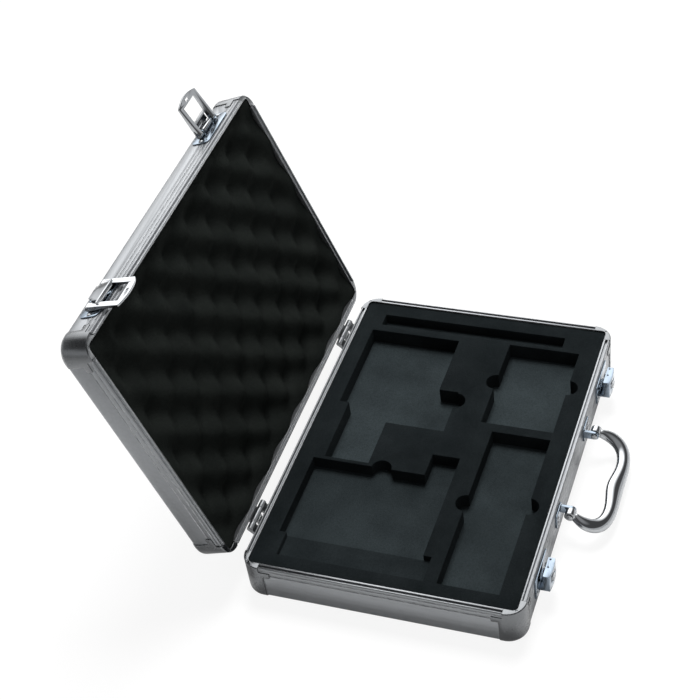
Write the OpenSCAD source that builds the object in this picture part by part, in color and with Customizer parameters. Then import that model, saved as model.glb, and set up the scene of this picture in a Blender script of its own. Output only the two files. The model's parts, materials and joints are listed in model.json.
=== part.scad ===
/* [Case] */
// outer width of the case, along the hinges
case_w = 405; // [340:1:480]
// outer depth of the case, front to back
case_d = 285; // [240:1:340]
// height of the base from its underside to its rim
base_h = 45; // [38:1:56]
// height of the lid from its rim to its top
lid_h = 35; // [30:1:46]
// plan radius of the cast corners
corner_r = 20; // [18:1:26]
// radius of the long rounded edges
edge_r = 8; // [6:0.5:9]
// gap between the closed rims
rim_gap = 0.3; // [0.2:0.05:0.6]

/* [Rails] */
// width of the rim's top face
rim_w = 7; // [6:0.5:9]
// wall of the extruded rails
wall_t = 1.8; // [1.4:0.1:2.2]
// how far the rails sit inside the castings' outer faces
rail_in = 0.8; // [0.5:0.1:1.2]
// height of the box section under the rim
rim_box_h = 9; // [8:0.5:11]
// width of the lower flange that carries the panel
flange_w = 16; // [14:0.5:18]
// thickness of the bottom and top panels
panel_t = 1.5; // [1:0.1:2]
// play of the panel in its slot
panel_play = 0.1; // [0.05:0.05:0.3]
// width of the groove in the base's rim
groove_w = 2.8; // [2.6:0.1:3.2]
// depth of the groove in the base's rim
groove_d = 3; // [2.8:0.1:4]
// thickness of the tongue on the lid's rim
tongue_w = 1.4; // [1:0.1:1.6]
// height of the tongue on the lid's rim
tongue_h = 2.3; // [1.5:0.1:2.4]
// length of the castings' lips over the rails
lip_l = 4; // [2:0.5:6]
// length of the castings' ears under the rim
ear_l = 11; // [8:0.5:14]

/* [Lid] */
// angle the lid stands open
lid_open = 109.5; // [90:0.5:115]
// distance of the hinge axis behind the case's back
hinge_out = 4.8; // [4.6:0.1:5.5]
// distance of each hinge's middle from the case's end
hinge_in = 64.5; // [52.5:0.5:82.5]
// length of each hinge
hinge_l = 38; // [34:1:44]
// radius of the hinge knuckles
knuckle_r = 3.2; // [3:0.1:3.4]
// radius of the hinge pins
hinge_pin_r = 1.5; // [1.2:0.1:1.8]

/* [Latches] */
// distance of each latch's middle from the case's end
latch_in = 68.5; // [57.5:0.5:92.5]
// angle the far hasp is flipped outward
hasp_flip = 100; // [60:1:150]
// width of a hasp
hasp_w = 40; // [36:1:44]
// length of a hasp from its pin to its corners
hasp_l = 35; // [34:0.5:36]
// sideways travel of the release slide
slide_travel = 4; // [3.5:0.5:4]

/* [Handle] */
// distance of each handle eye from the middle
handle_x = 58; // [50:1:66]
// reach of the handle from its pins to its outer side
handle_reach = 45; // [43:1:52]
// angle the handle hangs below level
handle_droop = 28; // [10:1:28]

/* [Foam] */
// depth of the base foam's upper face below the rim
foam_drop = 2; // [1:0.5:4]
// number of half waves of the lid foam across
wave_x = 14; // [10:2:16]
// number of half waves of the lid foam front to back
wave_y = 10; // [8:2:12]
// height of the lid foam's waves
wave_h = 14; // [8:0.5:15]

/* [Hidden] */
over = 1;
touch = 0.3;
bore_play = 0.05;
arc_n = 6;
chamfer = 0.8;
half_w = case_w / 2;
half_d = case_d / 2;
hinge_x = half_w - hinge_in;
latch_x = half_w - latch_in;
face_y = half_d - rail_in;
lid_rim = base_h + rim_gap;
axis_y = half_d + hinge_out;
axis_z = base_h + rim_gap / 2;
slot_z0 = rail_in + wall_t;
slot_z1 = slot_z0 + panel_t + panel_play;
slot_u = 8.2;
lip_t = 1.2;
lip_z = slot_z1 + lip_t;
lip_u = 14;
key_u = 3.9;
mark_w = 1;
mark_d = 0.5;
mark_1 = 3.4;
mark_2 = 9.2;
inner_r = 5;
steel = [0.78, 0.79, 0.8];
alu = [0.74, 0.75, 0.76];
cast = [0.42, 0.44, 0.44];
foam_c = [0.12, 0.14, 0.15];

// arc points about one centre, from angle a0 to angle a1
function arc(cx, cy, r, a0, a1, n = arc_n) =
    [for (i = [0:n]) [cx + r * cos(a0 + (a1 - a0) * i / n), cy + r * sin(a0 + (a1 - a0) * i / n)]];

// inner side of a rail or casting, from the rim's inner edge down to the flange's end
function inner_side(h, skin, w = rim_w) = concat(
    [[w, h], [w, h - rim_box_h], [rail_in + wall_t, h - rim_box_h]],
    arc(edge_r, edge_r, edge_r - rail_in - wall_t, 180,
        180 + asin((edge_r - lip_z) / (edge_r - rail_in - wall_t))),
    [[lip_u, lip_z], [lip_u, slot_z1], [slot_u, slot_z1], [slot_u, slot_z0], [flange_w, slot_z0],
        [flange_w, skin]]);

// outer side of a rail or casting, from the underside up to the rim's outer edge
function outer_side(h, skin) = concat(
    arc(edge_r, edge_r, edge_r - skin, 270, 180), [[skin, h - chamfer], [skin + chamfer, h]]);

// outer side of a rail with its two shallow lines
function marked_side(h) = concat(
    arc(edge_r, edge_r, edge_r - rail_in, 270, 180),
    [[rail_in, h - mark_2 - mark_w], [rail_in + mark_d, h - mark_2 - mark_w],
        [rail_in + mark_d, h - mark_2], [rail_in, h - mark_2],
        [rail_in, h - mark_1 - mark_w], [rail_in + mark_d, h - mark_1 - mark_w],
        [rail_in + mark_d, h - mark_1], [rail_in, h - mark_1],
        [rail_in, h - chamfer], [rail_in + chamfer, h]]);

// key on the rim: a groove is a negative height, a tongue a positive one
function rim_key(h, kw, kh) =
    [[key_u - kw / 2, h], [key_u - kw / 2, h + kh], [key_u + kw / 2, h + kh], [key_u + kw / 2, h]];

chamber_u0 = 2.8;
chamber_u1 = 5.2;
chamber_h = 3;
chamber_z = 8;

// one straight rail along x with its outer face toward -y
module rail(len, half, h, kw, kh) {
    translate([-len / 2, -half, 0])
        rotate([90, 0, 90])
            linear_extrude(len)
                difference() {
                    polygon(concat(marked_side(h), rim_key(h, kw, kh), inner_side(h, rail_in)));
                    translate([chamber_u0, h - chamber_z])
                        square([chamber_u1 - chamber_u0, chamber_h]);
                }
}

rim_more = 6;
dot_r = 1.1;
dot_d = 0.5;
dot_at = (corner_r - 2.2) / sqrt(2);

// one cast corner filling the +x +y quarter about its own axis, with a small dot in its rim
module casting(h) {
    union() {
        difference() {
            rotate_extrude(angle = 90)
                polygon([for (p = concat(outer_side(h, 0), inner_side(h, 0, rim_w + rim_more)))
                    [corner_r - p[0], p[1]]]);
            rim_corner(h);
            translate([dot_at, dot_at, h - dot_d])
                cylinder(r = dot_r, h = dot_d + over, $fn = 32);
        }
        casting_lip(h);
        mirror([1, -1, 0])
            casting_lip(h);
    }
}

// the rim's small inner corner, cut out of the round corner
module rim_corner(h) {
    side_in = corner_r - rim_w;
    translate([0, 0, h - rim_box_h - over])
        linear_extrude(rim_box_h + 2 * over)
            union() {
                square([side_in - inner_r, side_in]);
                square([side_in, side_in - inner_r]);
                translate([side_in - inner_r, side_in - inner_r])
                    circle(r = inner_r, $fn = 48);
            }
}

ear_z0 = 13;
ear_z1 = 6.5;

// thin lip that laps over the end of one rail, and the small ear under the rim
module casting_lip(h) {
    side = concat(arc(edge_r, edge_r, edge_r, 270, 180),
        [[0, h - ear_z0], [rail_in, h - ear_z0]],
        arc(edge_r, edge_r, edge_r - rail_in, 180, 270));
    rotate([90, 0, 0])
        linear_extrude(lip_l)
            polygon([for (p = side) [corner_r - p[0], p[1]]]);
    translate([corner_r - rail_in, -ear_l, h - ear_z0])
        cube([rail_in, ear_l, ear_z0 - ear_z1]);
}

// puts a casting or anything else at one of the four corners
module at_corner(sx, sy, turn) {
    translate([sx * (half_w - corner_r), sy * (half_d - corner_r), 0])
        rotate([0, 0, turn])
            children();
}

// lid pieces are drawn standing on their top, then turned over and swung open
module lid_place() {
    translate([0, axis_y, axis_z])
        rotate([-lid_open, 0, 0])
            translate([0, -axis_y, -axis_z])
                children();
}

module lid_over() {
    lid_place()
        translate([0, 0, lid_rim + lid_h])
            rotate([180, 0, 0])
                children();
}

pad_gap = 1.2;

// rectangle with round corners about the origin
module round_rect(px, py, pr, n = 48) {
    union() {
        square([2 * px, 2 * (py - pr)], center = true);
        square([2 * (px - pr), 2 * py], center = true);
        for (sx = [-1, 1], sy = [-1, 1])
            translate([sx * (px - pr), sy * (py - pr)])
                circle(r = pr, $fn = n);
    }
}

// panel held in the rails' slots, with a raised field flush with the castings
module panel() {
    slot_in = slot_u + panel_play;
    pad_in = flange_w + pad_gap;
    union() {
        translate([0, 0, slot_z0 + panel_play / 2])
            linear_extrude(panel_t)
                round_rect(half_w - slot_in, half_d - slot_in, corner_r - slot_in);
        linear_extrude(slot_z0 + panel_t / 2)
            round_rect(half_w - pad_in, half_d - pad_in, corner_r - pad_in);
    }
}

rivet_r = 1.5;
rivet_head_r = 2.6;
rivet_head_h = 0.9;
rivet_tail_r = 2.4;
rivet_tail_h = 0.9;
plate_t = 1.6;

// rivet along -y whose plate lies on the rail's face: head outside, tail behind the wall
module rivet(t) {
    rotate([90, 0, 0])
        union() {
            translate([0, 0, -wall_t - rivet_tail_h])
                cylinder(r = rivet_tail_r, h = rivet_tail_h, $fn = 32);
            translate([0, 0, -wall_t - rivet_tail_h / 2])
                cylinder(r = rivet_r, h = wall_t + t + rivet_tail_h, $fn = 32);
            translate([0, 0, t])
                cylinder(r1 = rivet_head_r, r2 = rivet_head_r / 2, h = rivet_head_h, $fn = 32);
        }
}

module rivet_bore(t) {
    rotate([90, 0, 0])
        translate([0, 0, -wall_t - over])
            cylinder(r = rivet_r + bore_play, h = wall_t + t + 2 * over, $fn = 32);
}

lock_w = 44;
lock_z0 = base_h - 28;
lock_z1 = base_h - 5;
lock_rivet_x = 18.5;
lock_rivet_z = base_h - 24.6;
bracket_in = 50.6;
bracket_l = 20;
bracket_z0 = base_h - 22.5;
bracket_z1 = base_h - 5.5;
bracket_rivet_x = 66.4;
bracket_rivet_1 = base_h - 18.8;
bracket_rivet_2 = base_h - 12;
hinge_rivet_z = base_h - 16;
hinge_rivet_x = 12;
lid_plate_w = 54;
lid_plate_z0 = 4;
lid_plate_z1 = 26;
lid_rivet_x = 23.4;
lid_rivet_z = 15;

// places where the base's rivets go: front ones by x and z
base_front_at = [for (s = [-1, 1]) each [
    [s * latch_x - lock_rivet_x, lock_rivet_z], [s * latch_x + lock_rivet_x, lock_rivet_z],
    [s * bracket_rivet_x, bracket_rivet_1], [s * bracket_rivet_x, bracket_rivet_2]]];
base_back_at = [for (s = [-1, 1]) each [
    [s * hinge_x - hinge_rivet_x, hinge_rivet_z], [s * hinge_x + hinge_rivet_x, hinge_rivet_z]]];

module base_rivets_at_front() {
    for (p = base_front_at)
        translate([p[0], -face_y, p[1]])
            children();
}

module base_rivets_at_back() {
    for (p = base_back_at)
        translate([p[0], face_y, p[1]])
            rotate([0, 0, 180])
                children();
}

lid_hinge_z = lid_rim + 16;
lid_back_at = [for (s = [-1, 1]) each [
    [s * hinge_x - hinge_rivet_x, lid_hinge_z], [s * hinge_x + hinge_rivet_x, lid_hinge_z]]];

module lid_rivets_at_front() {
    for (s = [-1, 1], k = [-1, 1])
        translate([s * latch_x + k * lid_rivet_x, -face_y, lid_rim + lid_rivet_z])
            children();
}

module lid_rivets_at_back() {
    for (p = lid_back_at)
        translate([p[0], face_y, p[1]])
            rotate([0, 0, 180])
                children();
}

module base_panel() {
    color(foam_c)
        panel();
}

module base_rail_front() {
    color(alu)
        difference() {
            rail(case_w - 2 * corner_r, half_d, base_h, groove_w, -groove_d);
            base_rivets_at_front()
                rivet_bore(plate_t);
        }
}

module base_rail_back() {
    color(alu)
        difference() {
            rotate([0, 0, 180])
                rail(case_w - 2 * corner_r, half_d, base_h, groove_w, -groove_d);
            base_rivets_at_back()
                rivet_bore(plate_t);
        }
}

module base_rail_left() {
    color(alu)
        rotate([0, 0, 270])
            rail(case_d - 2 * corner_r, half_w, base_h, groove_w, -groove_d);
}

module base_rail_right() {
    color(alu)
        rotate([0, 0, 90])
            rail(case_d - 2 * corner_r, half_w, base_h, groove_w, -groove_d);
}

module base_corner_fl() {
    color(cast)
        at_corner(-1, -1, 180)
            casting(base_h);
}

module base_corner_fr() {
    color(cast)
        at_corner(1, -1, 270)
            casting(base_h);
}

module base_corner_rl() {
    color(cast)
        at_corner(-1, 1, 90)
            casting(base_h);
}

module base_corner_rr() {
    color(cast)
        at_corner(1, 1, 0)
            casting(base_h);
}

foam_top = base_h - foam_drop;
kx = case_w / 405;
ky = case_d / 285;
kz = (foam_top - lip_z) / 37.6;
notch_r = 10.5;
// pockets as boxes: x0, x1, y0, y1, depth
pockets = [
    [-150, -47.5, -30.5, 118.5, 14], [-48, -18, -30.5, -1.5, 14], [-179, -149, -39, 111, 6],
    [-43.5, 38, 60, 108, 18], [37, 152, 60, 118.5, 18], [16, 152, 18.5, 61, 18],
    [16, 74.5, -3, 19, 18], [162, 178.5, -94, 111, 12], [37, 157, -114, -37.5, 18],
    [-179, 26, -114, -52.5, 16.7]];
// half-round finger notches: x, y, depth
notches = [[-47.5, 44.5, 14], [62, -3, 18], [98, -37.5, 18], [104, -114, 18],
    [-75, -52.5, 16.7], [-66, -114, 16.7]];

module base_foam() {
    color(foam_c)
        difference() {
            translate([0, 0, lip_z])
                linear_extrude(foam_top - lip_z)
                    round_rect(half_w - rim_w, half_d - rim_w, inner_r);
            for (p = pockets)
                translate([p[0] * kx, p[2] * ky, foam_top - p[4] * kz])
                    cube([(p[1] - p[0]) * kx, (p[3] - p[2]) * ky, p[4] * kz + over]);
            for (p = notches)
                translate([p[0] * kx, p[1] * ky, foam_top - p[2] * kz])
                    cylinder(r = notch_r, h = p[2] * kz + over, $fn = 48);
        }
}

// everything on a lock is drawn about the latch's middle: y runs outward from the rail's face
module at_latch(s) {
    translate([s * latch_x, -face_y, 0])
        mirror([0, 1, 0])
            children();
}

module lock_plate(s) {
    color(steel)
        difference() {
            translate([s * latch_x - lock_w / 2, -face_y - plate_t, lock_z0])
                cube([lock_w, plate_t, lock_z1 - lock_z0]);
            base_rivets_at_front()
                rivet_bore(plate_t);
        }
}

module lock_plate_l() {
    lock_plate(-1);
}

module lock_plate_r() {
    lock_plate(1);
}

body_w = 24.4;
body_out = 12.3;
body_z0 = base_h - 26;
pocket_out = 5.8;
pocket_z0 = base_h - 22.8;
bulge = 1.2;
cav_out0 = 6.6;
cav_out1 = 11.4;
cav_half = 10.8;
cav_z0 = base_h - 21.6;
cav_z1 = base_h - 9.2;
nose_z = lid_rim - 18;
nose_w = 5;
nose_h = 1.6;
slide_play = 0.3;
window_z0 = base_h - 17.6;
window_z1 = base_h - 12.4;
window_half = 8;
thumb_half = 3.4;
hole_r = 0.9;
hole_x = [0, 9.8];
hole_out = 8.3;
hole_d = 2;

// lock housing: an upward pocket for the hasp's end and a cavity for catch and slide
module lock_body(s) {
    color(steel)
        at_latch(s)
            difference() {
                union() {
                    translate([-body_w / 2, plate_t, body_z0])
                        cube([body_w, body_out - plate_t, lock_z1 - body_z0]);
                    intersection() {
                        translate([0, body_out + bulge - bulge_r(), body_z0])
                            cylinder(r = bulge_r(), h = lock_z1 - body_z0, $fn = 180);
                        translate([-body_w / 2, body_out - over, body_z0])
                            cube([body_w, bulge + 2 * over, lock_z1 - body_z0]);
                    }
                }
                translate([-body_w / 2 - over, 0, pocket_z0])
                    cube([body_w + 2 * over, pocket_out, lock_z1]);
                translate([-cav_half, cav_out0, cav_z0])
                    cube([2 * cav_half, cav_out1 - cav_out0, cav_z1 - cav_z0]);
                translate([-nose_w / 2 - slide_play, plate_t, nose_z - nose_h / 2 - slide_play])
                    cube([nose_w + 2 * slide_play, cav_out0, nose_h + 2 * slide_play]);
                translate([-window_half, cav_out1 - over, window_z0])
                    cube([2 * window_half, body_out + bulge, window_z1 - window_z0]);
                for (x = hole_x)
                    translate([x, hole_out, lock_z1 - hole_d])
                        cylinder(r = hole_r, h = hole_d + over, $fn = 24);
            }
}

module lock_body_l() {
    lock_body(-1);
}

module lock_body_r() {
    lock_body(1);
}

function bulge_r() = (body_w * body_w / 4 + bulge * bulge) / (2 * bulge);

flange_half = 4;
catch_t = 0.8;
catch_out = 6.9;
catch_z0 = cav_z0 + 0.4;
catch_z1 = base_h - 13;
nose_tip = 2.2;
nose_flat = 4.6;
catch_ratio = 0.55;

// sprung catch: a flange in the cavity with a nose whose upper side is sloped
module lock_catch(s) {
    color(steel)
        at_latch(s)
            union() {
                translate([-flange_half, catch_out, catch_z0])
                    cube([2 * flange_half, catch_t, catch_z1 - catch_z0]);
                translate([-nose_w / 2, 0, 0])
                    rotate([90, 0, 90])
                        linear_extrude(nose_w)
                            polygon([[nose_tip, nose_z - nose_h / 2], [catch_out + catch_t / 2,
                                nose_z - nose_h / 2], [catch_out + catch_t / 2,
                                nose_z + nose_h / 2], [nose_flat, nose_z + nose_h / 2],
                                [nose_tip, nose_z - nose_h / 4]]);
            }
}

module lock_catch_l() {
    lock_catch(-1);
}

module lock_catch_r() {
    lock_catch(1);
}

slide_out0 = 10.2;
slide_out1 = 11.1;
slide_x0 = -9.9;
slide_x1 = 6.5;
slide_z0 = cav_z0 + 0.4;
slide_z1 = cav_z1 - 0.4;
arm_t = 1.2;
wedge_out = 6.9;
wedge_tip = -4.4;
wedges = [[base_h - 15.8, 2.6], [cav_z0 + 0.5, 2.1]];
thumb_out = 15.2;
thumb_x = -2;
thumb_z0 = window_z0 + 0.4;
thumb_z1 = window_z1 - 0.4;
wedge_x0 = slide_x0 + arm_t / 2;

// release slide: thumb piece in front, plate in the cavity, arm and two wedges at the flange
module lock_slide(s) {
    color(steel)
        at_latch(s)
            union() {
                translate([slide_x0, slide_out0, slide_z0])
                    cube([slide_x1 - slide_x0, slide_out1 - slide_out0, slide_z1 - slide_z0]);
                translate([thumb_x - thumb_half, slide_out0, thumb_z0])
                    cube([2 * thumb_half, thumb_out - slide_out0, thumb_z1 - thumb_z0]);
                translate([slide_x0, wedge_out, slide_z0])
                    cube([arm_t, slide_out1 - wedge_out, slide_z1 - slide_z0]);
                for (w = wedges)
                    translate([0, 0, w[0]])
                        linear_extrude(w[1])
                            polygon([[wedge_x0, wedge_out], [wedge_tip, wedge_out],
                                [wedge_x0, wedge_out + (wedge_tip - wedge_x0) * catch_ratio]]);
            }
}

module lock_slide_l() {
    lock_slide(-1);
}

module lock_slide_r() {
    lock_slide(1);
}

bracket_t = plate_t;
lug_t = 3;
lug_r = 4.5;
handle_z = base_h - 13;
handle_out = 12;
handle_pin_r = 2;
eye_gap = 0.3;
eye_w = 8;
eye_x0 = bracket_in + lug_t + eye_gap;
eye_x1 = eye_x0 + eye_w;
pin_head_r = 3.2;
pin_head_h = 1.2;

// bracket of the handle: riveted plate with one lug at its inner end
module handle_bracket(s) {
    color(steel)
        difference() {
            union() {
                translate([s > 0 ? bracket_in : -bracket_in - bracket_l, -face_y - bracket_t,
                    bracket_z0])
                    cube([bracket_l, bracket_t, bracket_z1 - bracket_z0]);
                translate([s > 0 ? bracket_in : -bracket_in - lug_t, 0, 0]) {
                    translate([0, -face_y - handle_out, handle_z - lug_r])
                        cube([lug_t, handle_out - bracket_t / 2, 2 * lug_r]);
                    translate([0, -face_y - handle_out, handle_z])
                        rotate([0, 90, 0])
                            cylinder(r = lug_r, h = lug_t, $fn = 48);
                }
            }
            translate([s > 0 ? bracket_in - over : -bracket_in - lug_t - over,
                -face_y - handle_out, handle_z])
                rotate([0, 90, 0])
                    cylinder(r = handle_pin_r + bore_play, h = lug_t + 2 * over, $fn = 48);
            base_rivets_at_front()
                rivet_bore(bracket_t);
        }
}

module handle_bracket_l() {
    handle_bracket(-1);
}

module handle_bracket_r() {
    handle_bracket(1);
}

// handle pin: headed at both ends, through lug and eye
module handle_pin(s) {
    pin_l = lug_t + eye_gap + eye_w + 2 * eye_gap;
    x0 = s > 0 ? bracket_in - eye_gap : -eye_x1 - eye_gap;
    color(steel)
        translate([x0, -face_y - handle_out, handle_z])
            rotate([0, 90, 0])
                union() {
                    translate([0, 0, -pin_head_h])
                        cylinder(r = pin_head_r, h = pin_head_h, $fn = 32);
                    translate([0, 0, -pin_head_h / 2])
                        cylinder(r = handle_pin_r, h = pin_l + pin_head_h, $fn = 48);
                    translate([0, 0, pin_l])
                        cylinder(r = pin_head_r, h = pin_head_h, $fn = 32);
                }
}

module handle_pin_l() {
    handle_pin(-1);
}

module handle_pin_r() {
    handle_pin(1);
}

eye_r = 5.6;
ring_n = 14;
grip_thick = 5.8;
// half of the handle's middle line: x, reach, half width in its plane
grip_line = [[57.8, 2.5, 3.5], [58.8, 7, 4.2], [60.2, 12, 6], [60.4, 18, 7.4],
    [58.8, 24.3, 7.8], [54.4, 30.3, 7.8], [47.4, 34.8, 7.5], [37.9, 37.4, 7.1], [27, 38.1, 7.3],
    [16, 37.2, 8], [6, 36.1, 8.9], [0, 35.9, 9.1]];
grip_half_n = len(grip_line) - 1;
grip_pts = concat([for (i = [0:grip_half_n]) grip_line[i]],
    [for (i = [1:grip_half_n]) let (p = grip_line[grip_half_n - i]) [-p[0], p[1], p[2]]]);
grip_last = len(grip_pts) - 1;
reach_k = handle_reach / 45;
width_k = handle_x / 58;

function grip_dir(i) = let (a = grip_pts[max(i - 1, 0)], b = grip_pts[min(i + 1, grip_last)],
    d = [(b[0] - a[0]) * width_k, (b[1] - a[1]) * reach_k]) d / norm(d);

// handle bar: rings of points along its middle line, closed at both ends
module grip_bar() {
    rings = [for (i = [0:grip_last]) let (p = grip_pts[i], d = grip_dir(i))
        [for (k = [0:ring_n - 1]) let (a = 360 * k / ring_n)
            [p[0] * width_k - d[1] * p[2] * cos(a), -p[1] * reach_k + -d[0] * p[2] * cos(a),
                grip_size(i) * sin(a)]]];
    pts = [for (r = rings) each r];
    faces = concat(
        [for (i = [0:grip_last - 1], k = [0:ring_n - 1]) let (m = (k + 1) % ring_n)
            [i * ring_n + k, i * ring_n + m, (i + 1) * ring_n + m, (i + 1) * ring_n + k]],
        [[for (k = [0:ring_n - 1]) ring_n - 1 - k]],
        [[for (k = [0:ring_n - 1]) grip_last * ring_n + k]]);
    polyhedron(pts, faces);
}

function grip_size(i) = grip_thick - 1.1 * max(0, 1 - min(i, grip_last - i) / 3);

// handle: waved bar with an eye at each end
module handle_grip() {
    color(steel)
        translate([0, -face_y - handle_out, handle_z])
            rotate([handle_droop, 0, 0])
                difference() {
                    union() {
                        grip_bar();
                        for (s = [-1, 1])
                            translate([s > 0 ? eye_x0 : -eye_x1, 0, 0])
                                rotate([0, 90, 0])
                                    cylinder(r = eye_r, h = eye_w, $fn = 48);
                    }
                    for (s = [-1, 1])
                        translate([s > 0 ? eye_x0 - over : -eye_x1 - over, 0, 0])
                            rotate([0, 90, 0])
                                cylinder(r = handle_pin_r + bore_play, h = eye_w + 2 * over,
                                    $fn = 48);
                }
}

knuckle_end = hinge_l / 4;
knuckle_gap = 0.3;
leaf_clear = 4.4;
leaf_h = 22;
leaf_back = hinge_out + rail_in;

// one knuckle with the web that joins it to its leaf; dir is -1 for the base, 1 for the lid
module knuckle(x0, len, dir) {
    translate([x0, axis_y, axis_z])
        rotate([0, 90, 0])
            cylinder(r = knuckle_r, h = len, $fn = 48);
    translate([x0, 0, 0])
        rotate([90, 0, 90])
            linear_extrude(len)
                polygon([[face_y, axis_z + dir * leaf_clear],
                    [face_y, axis_z + dir * (leaf_clear + leaf_rise)],
                    [face_y + plate_t, axis_z + dir * (leaf_clear + leaf_rise)],
                    [axis_y + knuckle_r * 0.94, axis_z + dir * knuckle_r * 0.34],
                    [axis_y, axis_z],
                    [axis_y - knuckle_r * 0.94, axis_z + dir * knuckle_r * 0.34]]);
}

leaf_rise = 3.4;

module hinge_bore(s) {
    translate([s * hinge_x - hinge_l, axis_y, axis_z])
        rotate([0, 90, 0])
            cylinder(r = hinge_pin_r + bore_play, h = 2 * hinge_l, $fn = 48);
}

module hinge_base(s) {
    x0 = s * hinge_x - hinge_l / 2;
    color(steel)
        difference() {
            union() {
                translate([x0, face_y, axis_z - leaf_clear - leaf_h])
                    cube([hinge_l, plate_t, leaf_h]);
                knuckle(x0, knuckle_end, -1);
                knuckle(x0 + hinge_l - knuckle_end, knuckle_end, -1);
            }
            hinge_bore(s);
            base_rivets_at_back()
                rivet_bore(plate_t);
        }
}

module hinge_base_l() {
    hinge_base(-1);
}

module hinge_base_r() {
    hinge_base(1);
}

stop_y0 = plate_t - leaf_back + touch;
stop_y1 = -1.2;
stop_z0 = -8;
stop_z1 = -1.5;
stop_w = 8;

// lid leaf; its finger stands against the base leaf when the lid is open
module hinge_lid(s) {
    x0 = s * hinge_x - hinge_l / 2;
    mid = hinge_l - 2 * knuckle_end - 2 * knuckle_gap;
    color(steel)
        difference() {
            union() {
                lid_place() {
                    translate([x0, face_y, axis_z + leaf_clear])
                        cube([hinge_l, plate_t, leaf_h]);
                    knuckle(x0 + knuckle_end + knuckle_gap, mid, 1);
                }
                translate([s * hinge_x - stop_w / 2, axis_y + stop_y0, axis_z + stop_z0])
                    cube([stop_w, stop_y1 - stop_y0, stop_z1 - stop_z0]);
            }
            hinge_bore(s);
            lid_place()
                lid_rivets_at_back()
                    rivet_bore(plate_t);
        }
}

module hinge_lid_l() {
    hinge_lid(-1);
}

module hinge_lid_r() {
    hinge_lid(1);
}

module hinge_pin(s) {
    color(steel)
        translate([s * hinge_x - hinge_l / 2 - knuckle_gap, axis_y, axis_z])
            rotate([0, 90, 0])
                cylinder(r = hinge_pin_r, h = hinge_l + 2 * knuckle_gap, $fn = 48);
}

module hinge_pin_l() {
    hinge_pin(-1);
}

module hinge_pin_r() {
    hinge_pin(1);
}

module base_rivets() {
    color(steel)
        union() {
            base_rivets_at_front()
                rivet(plate_t);
            base_rivets_at_back()
                rivet(plate_t);
        }
}

module lid_panel() {
    color(foam_c)
        lid_over()
            panel();
}

module lid_rail_front() {
    color(alu)
        lid_place()
            difference() {
                translate([0, 0, lid_rim + lid_h])
                    rotate([180, 0, 0])
                        rotate([0, 0, 180])
                            rail(case_w - 2 * corner_r, half_d, lid_h, tongue_w, tongue_h);
                lid_rivets_at_front()
                    rivet_bore(plate_t);
            }
}

module lid_rail_back() {
    color(alu)
        lid_place()
            difference() {
                translate([0, 0, lid_rim + lid_h])
                    rotate([180, 0, 0])
                        rail(case_w - 2 * corner_r, half_d, lid_h, tongue_w, tongue_h);
                lid_rivets_at_back()
                    rivet_bore(plate_t);
            }
}

module lid_rail_left() {
    color(alu)
        lid_over()
            rotate([0, 0, 270])
                rail(case_d - 2 * corner_r, half_w, lid_h, tongue_w, tongue_h);
}

module lid_rail_right() {
    color(alu)
        lid_over()
            rotate([0, 0, 90])
                rail(case_d - 2 * corner_r, half_w, lid_h, tongue_w, tongue_h);
}

module lid_corner_fl() {
    color(cast)
        lid_over()
            at_corner(-1, 1, 90)
                casting(lid_h);
}

module lid_corner_fr() {
    color(cast)
        lid_over()
            at_corner(1, 1, 0)
                casting(lid_h);
}

module lid_corner_rl() {
    color(cast)
        lid_over()
            at_corner(-1, -1, 180)
                casting(lid_h);
}

module lid_corner_rr() {
    color(cast)
        lid_over()
            at_corner(1, -1, 270)
                casting(lid_h);
}

foam_peak = lid_h - 0.8;
wave_sub = 2;
wave_nx = wave_x * wave_sub;
wave_ny = wave_y * wave_sub;
foam_side = 0.3;
foam_nip = 1.3;
edge_wave = 0.3;

// share of the full wave at step i of n: less within half a wave of the foam's edge
function wave_share(i, n) = edge_wave + (1 - edge_wave) * min(1, i / wave_sub, (n - i) / wave_sub);

function wave_at(i, j) = foam_peak - wave_h / 2 * wave_share(i, wave_nx)
    * wave_share(j, wave_ny) * (1 - cos(180 * i / wave_sub) * cos(180 * j / wave_sub));

// how far a point is drawn in: only the four corner points are
function nip_at(i, j) = i % wave_nx == 0 && j % wave_ny == 0 ? foam_nip : 0;

// lid foam: flat back on the lips, staggered waves on its face
module lid_foam() {
    fx = half_w - rim_w - foam_side;
    fy = half_d - rim_w - foam_side;
    row = wave_nx + 1;
    up = [for (j = [0:wave_ny], i = [0:wave_nx]) let (k = nip_at(i, j))
        [(fx - k) * (2 * i / wave_nx - 1), (fy - k) * (2 * j / wave_ny - 1), wave_at(i, j)]];
    ring = concat([for (i = [0:wave_nx - 1]) i],
        [for (j = [0:wave_ny - 1]) j * row + wave_nx],
        [for (i = [0:wave_nx - 1]) wave_ny * row + wave_nx - i],
        [for (j = [0:wave_ny - 1]) (wave_ny - j) * row]);
    n = len(ring);
    low_i = len(up);
    low = [for (k = ring) [up[k][0], up[k][1], lip_z]];
    top_faces = [for (j = [0:wave_ny - 1], i = [0:wave_nx - 1])
        let (a = j * row + i, b = a + 1, c = a + row, d = c + 1)
            each [[a, c, b], [b, c, d]]];
    side_faces = [for (k = [0:n - 1]) let (m = (k + 1) % n)
        each [[ring[k], ring[m], low_i + m], [ring[k], low_i + m, low_i + k],
            [low_i + k, low_i + m, low_i + n]]];
    color(foam_c)
        lid_over()
            polyhedron(concat(up, low, [[0, 0, lip_z]]), concat(top_faces, side_faces));
}

hasp_plate_t = 1.2;
plate_end_r = 5;
hasp_z = 17;
hasp_out = 4.4;
hasp_pin_r = 1.2;
ear_t = 2.4;
ear_x = 10.4;
ear_r = 2.3;

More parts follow.
